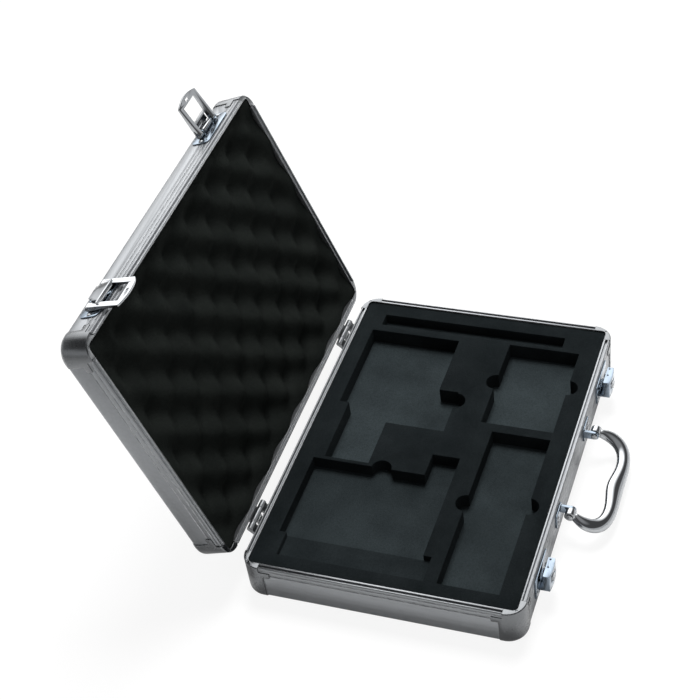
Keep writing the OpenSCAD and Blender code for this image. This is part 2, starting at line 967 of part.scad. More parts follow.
// mounting plate of a hasp, drawn on the closed lid: rounded ends and two ears
module hasp_plate(s) {
    color(steel)
        lid_place()
            difference() {
                union() {
                    translate([s * latch_x, -face_y, lid_rim])
                        rotate([90, 0, 0])
                            linear_extrude(hasp_plate_t)
                                union() {
                                    translate([-lid_plate_w / 2, lid_plate_z0 + plate_end_r])
                                        square([lid_plate_w, lid_plate_z1 - lid_plate_z0
                                            - 2 * plate_end_r]);
                                    translate([-lid_plate_w / 2 + plate_end_r, lid_plate_z0])
                                        square([lid_plate_w - 2 * plate_end_r, lid_plate_z1
                                            - lid_plate_z0]);
                                    for (k = [-1, 1], z = [lid_plate_z0 + plate_end_r,
                                        lid_plate_z1 - plate_end_r])
                                        translate([k * (lid_plate_w / 2 - plate_end_r), z])
                                            circle(r = plate_end_r, $fn = 32);
                                }
                    for (k = [-1, 1])
                        translate([s * latch_x + k * ear_x - ear_t / 2, -face_y - hasp_out,
                            lid_rim + hasp_z]) {
                            rotate([0, 90, 0])
                                cylinder(r = ear_r, h = ear_t, $fn = 32);
                            translate([0, 0, -ear_r])
                                cube([ear_t, hasp_out - hasp_plate_t / 2, 2 * ear_r]);
                        }
                }
                translate([s * latch_x - hasp_w, -face_y - hasp_out, lid_rim + hasp_z])
                    rotate([0, 90, 0])
                        cylinder(r = hasp_pin_r + bore_play, h = 2 * hasp_w, $fn = 32);
                lid_rivets_at_front()
                    rivet_bore(plate_t);
            }
}

module hasp_plate_l() {
    hasp_plate(-1);
}

module hasp_plate_r() {
    hasp_plate(1);
}

module hasp_pin(s) {
    color(steel)
        lid_place()
            translate([s * latch_x - hasp_w / 2 + eye_gap, -face_y - hasp_out, lid_rim + hasp_z])
                rotate([0, 90, 0])
                    cylinder(r = hasp_pin_r, h = hasp_w - 2 * eye_gap, $fn = 32);
}

module hasp_pin_l() {
    hasp_pin(-1);
}

module hasp_pin_r() {
    hasp_pin(1);
}

// turns a hasp about its own pin, from flat on the lid
module hasp_turn(s, flip) {
    lid_place()
        translate([s * latch_x, -face_y - hasp_out, lid_rim + hasp_z])
            rotate([-flip, 0, 0])
                children();
}

rail_w = 6.6;
barrel_r = 2.8;
end_back = 2.5;
end_front = 0.5;
end_edge = 31.5;
end_tip = 4.4;
end_slot_w = 7;
end_slot_h = 2.6;
end_slot_at = hasp_z + 18;
cheek_h = 12;
cheek_y0 = -4;
cheek_t = 1.4;
cheek_half = 12.6;
cheek_mid = 8.8;
cheek_low = 2.9;
cheek_top = 2.2;
bar_t = 4.5;
bar_h = 2;

// hasp about its pin: outward is -y, the end bar is down
module hasp_shape() {
    difference() {
        union() {
            for (k = [-1, 1])
                translate([k > 0 ? hasp_w / 2 - rail_w : -hasp_w / 2, 0, 0]) {
                    rotate([0, 90, 0])
                        cylinder(r = barrel_r, h = rail_w, $fn = 48);
                    rotate([90, 0, 90])
                        linear_extrude(rail_w)
                            polygon([[-barrel_r, 0], [end_front, -hasp_l], [end_back, -hasp_l],
                                [end_back, -barrel_r], [barrel_r * 0.9, 0]]);
                }
            translate([0, end_front, 0])
                rotate([-90, 0, 0])
                    linear_extrude(end_back - end_front)
                        end_outline();
            translate([-cheek_half, cheek_y0, -cheek_h])
                cube([2 * cheek_half, cheek_t, cheek_h - cheek_low]);
            translate([-cheek_mid, cheek_y0, -cheek_h])
                cube([2 * cheek_mid, cheek_t, cheek_h + cheek_top]);
            translate([-cheek_mid, 0, 0])
                rotate([0, 90, 0])
                    cylinder(r = barrel_r, h = 2 * cheek_mid, $fn = 48);
            translate([-hasp_w / 2 + rail_w / 2, cheek_y0, -cheek_h])
                cube([hasp_w - rail_w, bar_t, bar_h]);
        }
        translate([-end_slot_w / 2, -hasp_l, -end_slot_at - end_slot_h / 2])
            cube([end_slot_w, 2 * hasp_l, end_slot_h]);
        translate([-hasp_w, 0, 0])
            rotate([0, 90, 0])
                cylinder(r = hasp_pin_r + bore_play, h = 2 * hasp_w, $fn = 32);
    }
}

// outline of the end bar: straight inner edge, curved outer edge
module end_outline() {
    w = hasp_w / 2;
    r = (w * w + end_tip * end_tip) / (2 * end_tip);
    a = asin(w / r);
    polygon(concat([[-w, end_edge], [w, end_edge]],
        [for (i = [0:16]) let (t = a - 2 * a * i / 16)
            [r * sin(t), hasp_l + end_tip - r + r * cos(t)]]));
}

module hasp_l() {
    color(steel)
        hasp_turn(-1, 0)
            hasp_shape();
}

module hasp_r() {
    color(steel)
        hasp_turn(1, hasp_flip)
            hasp_shape();
}

module lid_rivets() {
    color(steel)
        lid_place()
            union() {
                lid_rivets_at_front()
                    rivet(hasp_plate_t);
                lid_rivets_at_back()
                    rivet(plate_t);
            }
}

base_panel();
base_rail_front();
base_rail_back();
base_rail_left();
base_rail_right();
base_corner_fl();
base_corner_fr();
base_corner_rl();
base_corner_rr();
base_foam();
lock_plate_l();
lock_plate_r();
lock_body_l();
lock_body_r();
lock_slide_l();
lock_slide_r();
lock_catch_l();
lock_catch_r();
handle_bracket_l();
handle_bracket_r();
handle_pin_l();
handle_pin_r();
handle_grip();
hinge_base_l();
hinge_base_r();
hinge_pin_l();
hinge_pin_r();
base_rivets();
lid_panel();
lid_rail_front();
lid_rail_back();
lid_rail_left();
lid_rail_right();
lid_corner_fl();
lid_corner_fr();
lid_corner_rl();
lid_corner_rr();
lid_foam();
hinge_lid_l();
hinge_lid_r();
hasp_plate_l();
hasp_plate_r();
hasp_pin_l();
hasp_pin_r();
hasp_l();
hasp_r();
lid_rivets();
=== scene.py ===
import json
import math
import bmesh
import bpy
from mathutils import Matrix, Vector

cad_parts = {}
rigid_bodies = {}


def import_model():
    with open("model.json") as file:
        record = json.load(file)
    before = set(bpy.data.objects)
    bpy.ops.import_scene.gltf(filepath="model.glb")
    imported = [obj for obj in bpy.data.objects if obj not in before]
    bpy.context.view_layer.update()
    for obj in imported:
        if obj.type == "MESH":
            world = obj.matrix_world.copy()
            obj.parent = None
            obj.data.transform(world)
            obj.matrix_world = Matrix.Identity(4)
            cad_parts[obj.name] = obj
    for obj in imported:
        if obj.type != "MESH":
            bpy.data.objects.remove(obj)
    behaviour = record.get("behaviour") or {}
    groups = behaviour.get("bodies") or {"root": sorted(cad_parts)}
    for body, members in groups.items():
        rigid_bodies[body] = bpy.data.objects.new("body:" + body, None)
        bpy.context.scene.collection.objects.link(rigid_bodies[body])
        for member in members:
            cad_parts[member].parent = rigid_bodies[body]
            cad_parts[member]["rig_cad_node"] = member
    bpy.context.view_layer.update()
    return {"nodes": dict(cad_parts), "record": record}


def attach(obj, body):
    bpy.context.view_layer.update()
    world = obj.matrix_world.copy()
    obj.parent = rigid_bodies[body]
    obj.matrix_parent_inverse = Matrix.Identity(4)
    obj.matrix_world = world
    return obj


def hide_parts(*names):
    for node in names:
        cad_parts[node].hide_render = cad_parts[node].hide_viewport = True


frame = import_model()
print("frame loaded:", len(frame["nodes"]), "nodes")

mm = 0.001
lidAngle = 109.5  # degrees that the lid stands open at rest

# helpers for pieces


def deselectAll():
    if bpy.context.object and bpy.context.object.mode != "OBJECT":
        bpy.ops.object.mode_set(mode="OBJECT")
    bpy.ops.object.select_all(action="DESELECT")


def only(obj):
    deselectAll()
    obj.select_set(True)
    bpy.context.view_layer.objects.active = obj
    return obj


def editMesh(obj, selectMode="FACE"):
    only(obj)
    bpy.ops.object.mode_set(mode="EDIT")
    bpy.ops.mesh.select_mode(type=selectMode)
    bpy.ops.mesh.select_all(action="DESELECT")
    return bmesh.from_edit_mesh(obj.data)


def leaveEdit():
    bpy.ops.object.mode_set(mode="OBJECT")


def applyModifiers(obj):
    only(obj)
    for mod in list(obj.modifiers):
        bpy.ops.object.modifier_apply(modifier=mod.name)


def placeInMesh(obj):
    only(obj)
    bpy.ops.object.transform_apply(location=True, rotation=True, scale=True)


def addBox(name, low, high):
    deselectAll()
    mid = [(a + b) / 2 for a, b in zip(low, high)]
    bpy.ops.mesh.primitive_cube_add(size=1, location=mid)
    obj = bpy.context.object
    obj.name = name
    obj.scale = [b - a for a, b in zip(low, high)]
    placeInMesh(obj)
    return obj


def addCylinder(name, at, radius, low, high, sides=48):
    deselectAll()
    bpy.ops.mesh.primitive_cylinder_add(vertices=sides, radius=radius, depth=high - low,
                                        location=(at[0], at[1], (low + high) / 2))
    obj = bpy.context.object
    obj.name = name
    placeInMesh(obj)
    return obj


def finishPiece(obj, body, mat, smoothAngle=40):
    only(obj)
    bpy.ops.object.shade_smooth_by_angle(angle=math.radians(smoothAngle))
    obj.data.materials.clear()
    obj.data.materials.append(mat)
    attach(obj, body)
    deselectAll()
    return obj


# helpers for nodes


def link(tree, a, b):
    tree.links.new(a, b)


def newGroup(name, inputs, outputs):
    g = bpy.data.node_groups.new(name, "ShaderNodeTree")
    for label, kind, value in inputs:
        s = g.interface.new_socket(name=label, in_out="INPUT", socket_type="NodeSocket" + kind)
        if value is not None:
            s.default_value = value
    for label, kind in outputs:
        g.interface.new_socket(name=label, in_out="OUTPUT", socket_type="NodeSocket" + kind)
    return g, g.nodes.new("NodeGroupInput"), g.nodes.new("NodeGroupOutput")


def noise(g, vec, scale, detail=2, rough=0.5):
    n = g.nodes.new("ShaderNodeTexNoise")
    n.inputs["Detail"].default_value = detail
    n.inputs["Roughness"].default_value = rough
    link(g, vec, n.inputs["Vector"])
    if isinstance(scale, (int, float)):
        n.inputs["Scale"].default_value = scale
    else:
        link(g, scale, n.inputs["Scale"])
    return n.outputs["Fac"]


def mathNode(g, op, a, b=None, clamp=False):
    n = g.nodes.new("ShaderNodeMath")
    n.operation = op
    n.use_clamp = clamp
    for i, v in enumerate((a, b)):
        if v is None:
            continue
        if isinstance(v, (int, float)):
            n.inputs[i].default_value = v
        else:
            link(g, v, n.inputs[i])
    return n.outputs[0]


def rangeNode(g, v, lo, hi, toLo=0.0, toHi=1.0):
    n = g.nodes.new("ShaderNodeMapRange")
    for label, val in (("From Min", lo), ("From Max", hi), ("To Min", toLo), ("To Max", toHi)):
        if isinstance(val, (int, float)):
            n.inputs[label].default_value = val
        else:
            link(g, val, n.inputs[label])
    link(g, v, n.inputs["Value"])
    return n.outputs["Result"]


# 1 for what the camera sees directly or in polished and clear surfaces, 0 for dull light
def seenDirectly(t):
    path = t.nodes.new("ShaderNodeLightPath")
    direct = mathNode(t, "MAXIMUM", path.outputs["Is Camera Ray"], path.outputs["Is Glossy Ray"])
    return mathNode(t, "MAXIMUM", direct, path.outputs["Is Transmission Ray"])


# camera, lamps, floor

cameraSet = {
    "place": (-1.1070, -0.4330, 1.2647),
    "right": (0.31634, -0.94106, -0.11973),
    "up": (0.66962, 0.13210, 0.73086),
    "lens": 84.78,
    "sensor": 36.0,
}


def makeCamera():
    data = bpy.data.cameras.new("studioCamera")
    data.lens = cameraSet["lens"]
    data.sensor_width = cameraSet["sensor"]
    data.clip_start = 0.02
    data.clip_end = 30
    cam = bpy.data.objects.new("studioCamera", data)
    bpy.context.scene.collection.objects.link(cam)
    r, u = (Vector(cameraSet[k]).normalized() for k in ("right", "up"))
    u = (u - r * u.dot(r)).normalized()
    turn = Matrix((r, u, r.cross(u))).transposed().to_4x4()
    cam.matrix_world = Matrix.Translation(cameraSet["place"]) @ turn
    bpy.context.scene.camera = cam
    return cam


makeCamera()

lightSet = {
    "key": {"place": (1.55, 0.30, 1.25), "aim": (0, 0.05, 0.05), "size": 1.3, "watts": 26},
    "top": {"place": (0.72, 0.14, 2.0), "aim": (0, 0.05, 0.05), "size": 0.8, "watts": 60},
    "fill": {"place": (-1.2, -1.5, 0.7), "aim": (0, 0.1, 0.1), "size": 1.0, "watts": 4},
    "room": 0.24,  # what dull surfaces see all round
    "horizon": 1.0, "wall": 0.14, "ceiling": 0.55,  # what polished surfaces see
    "heights": (0.0, 0.24, 0.34, 0.70, 0.88, 1.0),  # where each of these starts and ends
    "tint": (1, 1.01, 1.03),
    "window": {"toward": (0.676, 0.36, 0.643), "strength": 5.2, "wide": 0.70,
               "full": 0.985},
}


def addLamp(name, d):
    data = bpy.data.lights.new(name, "AREA")
    data.shape = "SQUARE"
    data.size = d["size"]
    data.energy = d["watts"]
    lamp = bpy.data.objects.new(name, data)
    bpy.context.scene.collection.objects.link(lamp)
    lamp.location = d["place"]
    aim = Vector(d["aim"]) - Vector(d["place"])
    lamp.rotation_mode = "QUATERNION"
    lamp.rotation_quaternion = aim.to_track_quat("-Z", "Y")
    lamp.visible_glossy = False
    lamp.visible_camera = False
    return lamp


addLamp("keySoftbox", lightSet["key"])
addLamp("topSoftbox", lightSet["top"])
addLamp("fillSoftbox", lightSet["fill"])


def makeWorld():
    world = bpy.data.worlds.new("studioWorld")
    bpy.context.scene.world = world
    world.use_nodes = True
    t = world.node_tree
    t.nodes.clear()
    out = t.nodes.new("ShaderNodeOutputWorld")
    coord = t.nodes.new("ShaderNodeTexCoord")
    sep = t.nodes.new("ShaderNodeSeparateXYZ")
    link(t, coord.outputs["Generated"], sep.inputs[0])
    ramp = t.nodes.new("ShaderNodeValToRGB")  # height in the room to its grey
    greys = [lightSet[k] for k in ("horizon", "wall", "ceiling") for _ in range(2)]
    e = ramp.color_ramp.elements
    for k, (pos, v) in enumerate(zip(lightSet["heights"], greys)):
        n = e[0] if k == 0 else e[-1] if k == len(greys) - 1 else e.new(pos)
        n.color = (*(v * c for c in lightSet["tint"]), 1)
    link(t, sep.outputs["Z"], ramp.inputs["Fac"])
    dot = t.nodes.new("ShaderNodeVectorMath")
    dot.operation = "DOT_PRODUCT"
    w = lightSet["window"]
    dot.inputs[1].default_value = Vector(w["toward"]).normalized()
    link(t, coord.outputs["Generated"], dot.inputs[0])
    near = t.nodes.new("ShaderNodeMapRange")
    near.interpolation_type = "SMOOTHSTEP"
    near.inputs["From Min"].default_value = w["wide"]
    near.inputs["From Max"].default_value = w["full"]
    near.inputs["To Max"].default_value = w["strength"]
    link(t, dot.outputs["Value"], near.inputs["Value"])
    glow = t.nodes.new("ShaderNodeBackground")
    link(t, near.outputs["Result"], glow.inputs["Strength"])
    backdrop = t.nodes.new("ShaderNodeBackground")
    link(t, ramp.outputs["Color"], backdrop.inputs["Color"])
    both = t.nodes.new("ShaderNodeAddShader")
    link(t, backdrop.outputs[0], both.inputs[0])
    link(t, glow.outputs[0], both.inputs[1])
    room = t.nodes.new("ShaderNodeBackground")
    room.inputs["Color"].default_value = (1, 1, 1, 1)
    room.inputs["Strength"].default_value = lightSet["room"]
    mix = t.nodes.new("ShaderNodeMixShader")
    link(t, seenDirectly(t), mix.inputs["Fac"])
    link(t, room.outputs[0], mix.inputs[1])
    link(t, both.outputs[0], mix.inputs[2])
    link(t, mix.outputs[0], out.inputs["Surface"])


makeWorld()

# shadow and mirrored: how much of the object's shadow the floor keeps, seen directly
# and seen in polished parts
floorSet = {"half": 9.0, "drop": 0.0004, "white": 0.93, "shadow": 0.11, "mirrored": 0.8}


def makeFloor():
    deselectAll()
    bpy.ops.mesh.primitive_plane_add(size=2 * floorSet["half"], location=(0, 0, -floorSet["drop"]))
    floor = bpy.context.object
    floor.name = "studioFloor"
    placeInMesh(floor)
    mat = bpy.data.materials.new("paleFloor")
    mat.use_nodes = True
    t = mat.node_tree
    t.nodes.clear()
    out = t.nodes.new("ShaderNodeOutputMaterial")
    paint = t.nodes.new("ShaderNodeBsdfDiffuse")
    w = floorSet["white"]
    paint.inputs["Color"].default_value = (w, w, w, 1)
    glow = t.nodes.new("ShaderNodeEmission")
    glow.inputs["Color"].default_value = (1, 1, 1, 1)
    glow.inputs["Strength"].default_value = 1.0
    path = t.nodes.new("ShaderNodeLightPath")
    mirrored = mathNode(t, "MULTIPLY", seenDirectly(t), 1 - floorSet["mirrored"])
    seen = mathNode(t, "MULTIPLY", path.outputs["Is Camera Ray"], 1 - floorSet["shadow"])
    mix = t.nodes.new("ShaderNodeMixShader")
    link(t, mathNode(t, "MAXIMUM", mirrored, seen), mix.inputs["Fac"])
    link(t, paint.outputs[0], mix.inputs[1])
    link(t, glow.outputs[0], mix.inputs[2])
    link(t, mix.outputs[0], out.inputs["Surface"])
    floor.data.materials.append(mat)


makeFloor()
print("camera, lamps and floor ready")

# shared node groups


# long fine lines along X of the vector it is given
def makeBrushed():
    g, i, o = newGroup("brushedLines", [("Vector", "Vector", None), ("Fineness", "Float", 900.0),
                                        ("Stretch", "Float", 60.0)],
                       [("Lines", "Float"), ("Bands", "Float")])
    mul = g.nodes.new("ShaderNodeVectorMath")
    mul.operation = "DIVIDE"
    comb = g.nodes.new("ShaderNodeCombineXYZ")
    link(g, i.outputs["Stretch"], comb.inputs["X"])
    comb.inputs["Y"].default_value = 1
    comb.inputs["Z"].default_value = 1
    link(g, i.outputs["Vector"], mul.inputs[0])
    link(g, comb.outputs[0], mul.inputs[1])
    link(g, noise(g, mul.outputs[0], i.outputs["Fineness"], 3, 0.6), o.inputs["Lines"])
    slow = mathNode(g, "MULTIPLY", i.outputs["Fineness"], 0.12)
    link(g, noise(g, mul.outputs[0], slow, 2, 0.5), o.inputs["Bands"])
    return g


# light lines on the edges: rubbed edges and a painted edge highlight
def makeEdgeWearAndHighlight():
    g, i, o = newGroup("edgeWearAndHighlight", [("Vector", "Vector", None), ("Radius", "Float", 0.0006),
                                    ("Amount", "Float", 0.5)],
                       [("Mask", "Float"), ("Normal", "Vector")])
    bev = g.nodes.new("ShaderNodeBevel")
    bev.samples = 6
    link(g, i.outputs["Radius"], bev.inputs["Radius"])
    geo = g.nodes.new("ShaderNodeNewGeometry")
    dot = g.nodes.new("ShaderNodeVectorMath")
    dot.operation = "DOT_PRODUCT"
    link(g, bev.outputs[0], dot.inputs[0])
    link(g, geo.outputs["Normal"], dot.inputs[1])
    edge = rangeNode(g, dot.outputs["Value"], 0.995, 0.86)
    spots = rangeNode(g, noise(g, i.outputs["Vector"], 140, 4, 0.7), 0.38, 0.62)
    m = mathNode(g, "MULTIPLY", mathNode(g, "MULTIPLY", edge, spots), i.outputs["Amount"], True)
    link(g, m, o.inputs["Mask"])
    link(g, bev.outputs[0], o.inputs["Normal"])
    return g


# soft smudges and dust, to vary roughness and tone
def makeSmudge():
    g, i, o = newGroup("handlingSmudge", [("Vector", "Vector", None), ("Size", "Float", 22.0)],
                       [("Smudge", "Float"), ("Specks", "Float")])
    link(g, noise(g, i.outputs["Vector"], i.outputs["Size"], 4, 0.6), o.inputs["Smudge"])
    fine = mathNode(g, "MULTIPLY", i.outputs["Size"], 38)
    link(g, rangeNode(g, noise(g, i.outputs["Vector"], fine, 2, 0.5), 0.66, 0.74),
         o.inputs["Specks"])
    return g


# open-cell pores at two sizes
def makePores():
    g, i, o = newGroup("foamPores", [("Vector", "Vector", None), ("Cells", "Float", 1500.0)],
                       [("Height", "Float"), ("Mottle", "Float")])
    v = g.nodes.new("ShaderNodeTexVoronoi")
    link(g, i.outputs["Vector"], v.inputs["Vector"])
    link(g, i.outputs["Cells"], v.inputs["Scale"])
    coarse = mathNode(g, "MULTIPLY", i.outputs["Cells"], 0.3)
    n = noise(g, i.outputs["Vector"], coarse, 4, 0.65)
    link(g, mathNode(g, "ADD", mathNode(g, "MULTIPLY", v.outputs["Distance"], 0.6), n),
         o.inputs["Height"])
    slow = mathNode(g, "MULTIPLY", i.outputs["Cells"], 0.02)
    link(g, noise(g, i.outputs["Vector"], slow, 3, 0.6), o.inputs["Mottle"])
    return g


groups = {"brushed": makeBrushed(), "wearAndHighlight": makeEdgeWearAndHighlight(), "smudge": makeSmudge(),
          "pores": makePores()}


def useGroup(t, key, vec, **values):
    n = t.nodes.new("ShaderNodeGroup")
    n.node_tree = groups[key]
    link(t, vec, n.inputs["Vector"])
    for k, v in values.items():
        n.inputs[k].default_value = v
    return n


def mixColor(t, fac, a, b, mode="MIX"):
    n = t.nodes.new("ShaderNodeMix")
    n.data_type = "RGBA"
    n.blend_type = mode
    ins = {s.identifier: s for s in n.inputs}
    outs = {s.identifier: s for s in n.outputs}
    for key, v in (("Factor_Float", fac), ("A_Color", a), ("B_Color", b)):
        if isinstance(v, (int, float)):
            ins[key].default_value = v
        elif isinstance(v, (tuple, list)):
            ins[key].default_value = (v[0], v[1], v[2], 1)
        else:
            link(t, v, ins[key])
    return outs["Result_Color"]


def startMaterial(name):
    mat = bpy.data.materials.new(name)
    mat.use_nodes = True
    t = mat.node_tree
    t.nodes.clear()
    out = t.nodes.new("ShaderNodeOutputMaterial")
    shader = t.nodes.new("ShaderNodeBsdfPrincipled")
    link(t, shader.outputs[0], out.inputs["Surface"])
    coord = t.nodes.new("ShaderNodeTexCoord")
    return mat, t, shader, coord.outputs["Object"]


def bump(t, height, strength, distance, normal=None):
    n = t.nodes.new("ShaderNodeBump")
    n.inputs["Strength"].default_value = strength
    n.inputs["Distance"].default_value = distance
    link(t, height, n.inputs["Height"])
    if normal is not None:
        link(t, normal, n.inputs["Normal"])
    return n.outputs["Normal"]


# metals


def metalMaterial(name, d):
    mat, t, shader, coord = startMaterial(name)
    turn = t.nodes.new("ShaderNodeMapping")
    turn.inputs["Rotation"].default_value = [math.radians(a) for a in d.get("turn", (0, 0, 0))]
    link(t, coord, turn.inputs["Vector"])
    lines = useGroup(t, "brushed", turn.outputs[0], Fineness=d["fineness"], Stretch=d["stretch"])
    wearAndHighlight = useGroup(t, "wearAndHighlight", coord, Radius=d["edge"], Amount=d["wearAndHighlight"])
    smudge = useGroup(t, "smudge", coord, Size=d["smudge"])
    c = d["color"]
    dark = tuple(v * (1 - d["vary"]) for v in c)
    light = tuple(min(1, v * (1 + d["vary"])) for v in c)
    tone = mixColor(t, lines.outputs["Bands"], dark, light)
    # light edge lines mix rubbed metal with a painted highlight along the edges
    wornAndHighlit = mixColor(t, wearAndHighlight.outputs["Mask"], tone, d["wornAndHighlightColor"])
    paintedLitFloor = mixColor(t, mathNode(t, "MULTIPLY", smudge.outputs["Specks"], d["specks"]), wornAndHighlit,
                     d["speckColor"])
    link(t, paintedLitFloor, shader.inputs["Base Color"])
    shader.inputs["Metallic"].default_value = d["metallic"]
    r = mathNode(t, "ADD", mathNode(t, "MULTIPLY", lines.outputs["Lines"], d["roughLines"]),
                 mathNode(t, "MULTIPLY", smudge.outputs["Smudge"], d["roughSmudge"]))
    link(t, mathNode(t, "ADD", r, d["rough"], True), shader.inputs["Roughness"])
    link(t, bump(t, lines.outputs["Lines"], d["bump"], d["depth"], wearAndHighlight.outputs["Normal"]),
         shader.inputs["Normal"])
    return mat


# edge wear on rails and castings is set high so that it also paints bright highlight lines on the
# edges
railSet = {"color": (0.215, 0.223, 0.232), "vary": 0.10, "wornAndHighlightColor": (0.75, 0.76, 0.77),
           "fineness": 2600.0, "stretch": 70.0, "edge": 0.0006, "wearAndHighlight": 0.8, "smudge": 16.0,
           "specks": 0.2, "speckColor": (0.30, 0.30, 0.30), "metallic": 0.9, "rough": 0.27,
           "roughLines": 0.14, "roughSmudge": 0.10, "bump": 0.12, "depth": 0.0002}
castingSet = dict(railSet, color=(0.135, 0.14, 0.145), vary=0.08, wornAndHighlightColor=(0.6, 0.6, 0.6),
                  stretch=2.0, fineness=420.0, edge=0.0006, wearAndHighlight=0.7, metallic=1.0, rough=0.14,
                  roughLines=0.10, roughSmudge=0.16, bump=0.10, depth=0.0003, specks=0.35,
                  speckColor=(0.12, 0.12, 0.12))
chromeSet = dict(railSet, color=(0.33, 0.34, 0.35), vary=0.03, wornAndHighlightColor=(0.9, 0.9, 0.92),
                 stretch=3.0, fineness=300.0, edge=0.00035, wearAndHighlight=0.2, metallic=1.0, rough=0.035,
                 roughLines=0.03, roughSmudge=0.07, bump=0.03, depth=0.0001, specks=0.12,
                 speckColor=(0.5, 0.5, 0.5))
platedSet = dict(chromeSet, color=(0.18, 0.215, 0.255), rough=0.10, roughLines=0.08, bump=0.06)
zincSet = dict(railSet, color=(0.34, 0.35, 0.36), vary=0.10, stretch=6.0, fineness=800.0,
               metallic=1.0, rough=0.26, edge=0.0003)

metals = {
    "railX": metalMaterial("satinRailAcross", railSet),
    "railY": metalMaterial("satinRailDeep", dict(railSet, turn=(0, 0, 90))),
    "railLid": metalMaterial("satinRailLid", dict(railSet, turn=(0, 0, 90 + lidAngle))),
    "corner": metalMaterial("polishedCasting", castingSet),
    "chrome": metalMaterial("brightChrome", chromeSet),
    "plated": metalMaterial("platedSheet", platedSet),
    "zinc": metalMaterial("zincFittings", zincSet),
}

# panels

panelSet = {"color": (0.36, 0.365, 0.37), "pebble": 620.0, "depth": 0.0006, "rough": 0.38,
            "smudge": 12.0, "edge": 0.0006, "wearAndHighlight": 0.5, "wornAndHighlightColor": (0.6, 0.6, 0.6),
            "metallic": 0.75, "bump": 0.5}


def panelMaterial():
    mat, t, shader, coord = startMaterial("embossedPanel")
    v = t.nodes.new("ShaderNodeTexVoronoi")
    v.feature = "SMOOTH_F1"
    v.inputs["Scale"].default_value = panelSet["pebble"]
    link(t, coord, v.inputs["Vector"])
    smudge = useGroup(t, "smudge", coord, Size=panelSet["smudge"])
    wearAndHighlight = useGroup(t, "wearAndHighlight", coord, Radius=panelSet["edge"], Amount=panelSet["wearAndHighlight"])
    c = panelSet["color"]
    tone = mixColor(t, smudge.outputs["Smudge"], tuple(x * 0.88 for x in c),
                    tuple(x * 1.1 for x in c))
    # hollows between the pebbles painted darker: painted shade
    paintedPitShade = mixColor(t, rangeNode(t, v.outputs["Distance"], 0.2, 0.75), tone,
                   tuple(x * 0.72 for x in c))
    # light edge lines: rubbed edges and a painted edge highlight
    wornAndHighlit = mixColor(t, wearAndHighlight.outputs["Mask"], paintedPitShade, panelSet["wornAndHighlightColor"])
    link(t, wornAndHighlit, shader.inputs["Base Color"])
    shader.inputs["Metallic"].default_value = panelSet["metallic"]
    link(t, rangeNode(t, smudge.outputs["Smudge"], 0.3, 0.7, panelSet["rough"] - 0.06,
                      panelSet["rough"] + 0.1), shader.inputs["Roughness"])
    flip = mathNode(t, "SUBTRACT", 1.0, v.outputs["Distance"])
    link(t, bump(t, flip, panelSet["bump"], panelSet["depth"], wearAndHighlight.outputs["Normal"]),
         shader.inputs["Normal"])
    return mat


panelMat = panelMaterial()

# foam


def foamMaterial(name, d):
    mat, t, shader, coord = startMaterial(name)
    pores = useGroup(t, "pores", coord, Cells=d["cells"])
    smudge = useGroup(t, "smudge", coord, Size=d["mottle"])
    low, high = d["dark"], d["light"]
    tone = mixColor(t, rangeNode(t, pores.outputs["Mottle"], 0.3, 0.7), low, high)
    if "floorAt" in d:  # pocket floors facing up painted lighter than the upper face, in patches: painted light on the floors
        sep = t.nodes.new("ShaderNodeSeparateXYZ")
        link(t, coord, sep.inputs[0])
        geo = t.nodes.new("ShaderNodeNewGeometry")
        sepN = t.nodes.new("ShaderNodeSeparateXYZ")
        link(t, geo.outputs["Normal"], sepN.inputs[0])
        deep = rangeNode(t, sep.outputs["Z"], d["floorAt"][1], d["floorAt"][0])
        up = rangeNode(t, sepN.outputs["Z"], 0.6, 0.95)
        patch = rangeNode(t, smudge.outputs["Smudge"], 0.35, 0.7, 0.45, 1.0)
        m = mathNode(t, "MULTIPLY", mathNode(t, "MULTIPLY", deep, up), patch, True)
        tone = mixColor(t, m, tone, d["paintedLitFloor"])
    lint = mixColor(t, mathNode(t, "MULTIPLY", smudge.outputs["Specks"], d["lint"]), tone,
                    d["lintColor"])
    # pore hollows painted darker: painted shade
    paintedPitShade = mixColor(t, rangeNode(t, pores.outputs["Height"], 0.45, 1.0, 0.45, 0.0), lint,
                   tuple(v * 0.35 for v in low))
    link(t, paintedPitShade, shader.inputs["Base Color"])
    shader.inputs["Roughness"].default_value = 1.0
    shader.inputs["Specular IOR Level"].default_value = d["gloss"]
    link(t, bump(t, pores.outputs["Height"], d["bump"], d["depth"]), shader.inputs["Normal"])
    return mat


# the pocket floors' lighter colour is painted light on the up-facing floors
baseFoamSet = {"dark": (0.0062, 0.0080, 0.0088), "light": (0.0096, 0.0120, 0.0130),
               "cells": 1500.0, "mottle": 14.0, "lint": 0.10, "lintColor": (0.05, 0.055, 0.055),
               "gloss": 0.04, "bump": 0.55, "depth": 0.0007, "paintedLitFloor": (0.029, 0.037, 0.040),
               "floorAt": (0.0235, 0.041)}
lidFoamSet = {"dark": (0.0070, 0.0082, 0.0076), "light": (0.0110, 0.0126, 0.0116),
              "cells": 1300.0, "mottle": 16.0, "lint": 0.08, "lintColor": (0.04, 0.042, 0.04),
              "gloss": 0.01, "bump": 0.6, "depth": 0.0007}
baseFoamMat = foamMaterial("baseFoam", baseFoamSet)
lidFoamMat = foamMaterial("lidFoam", lidFoamSet)
print("materials ready")

# base foam with its pockets

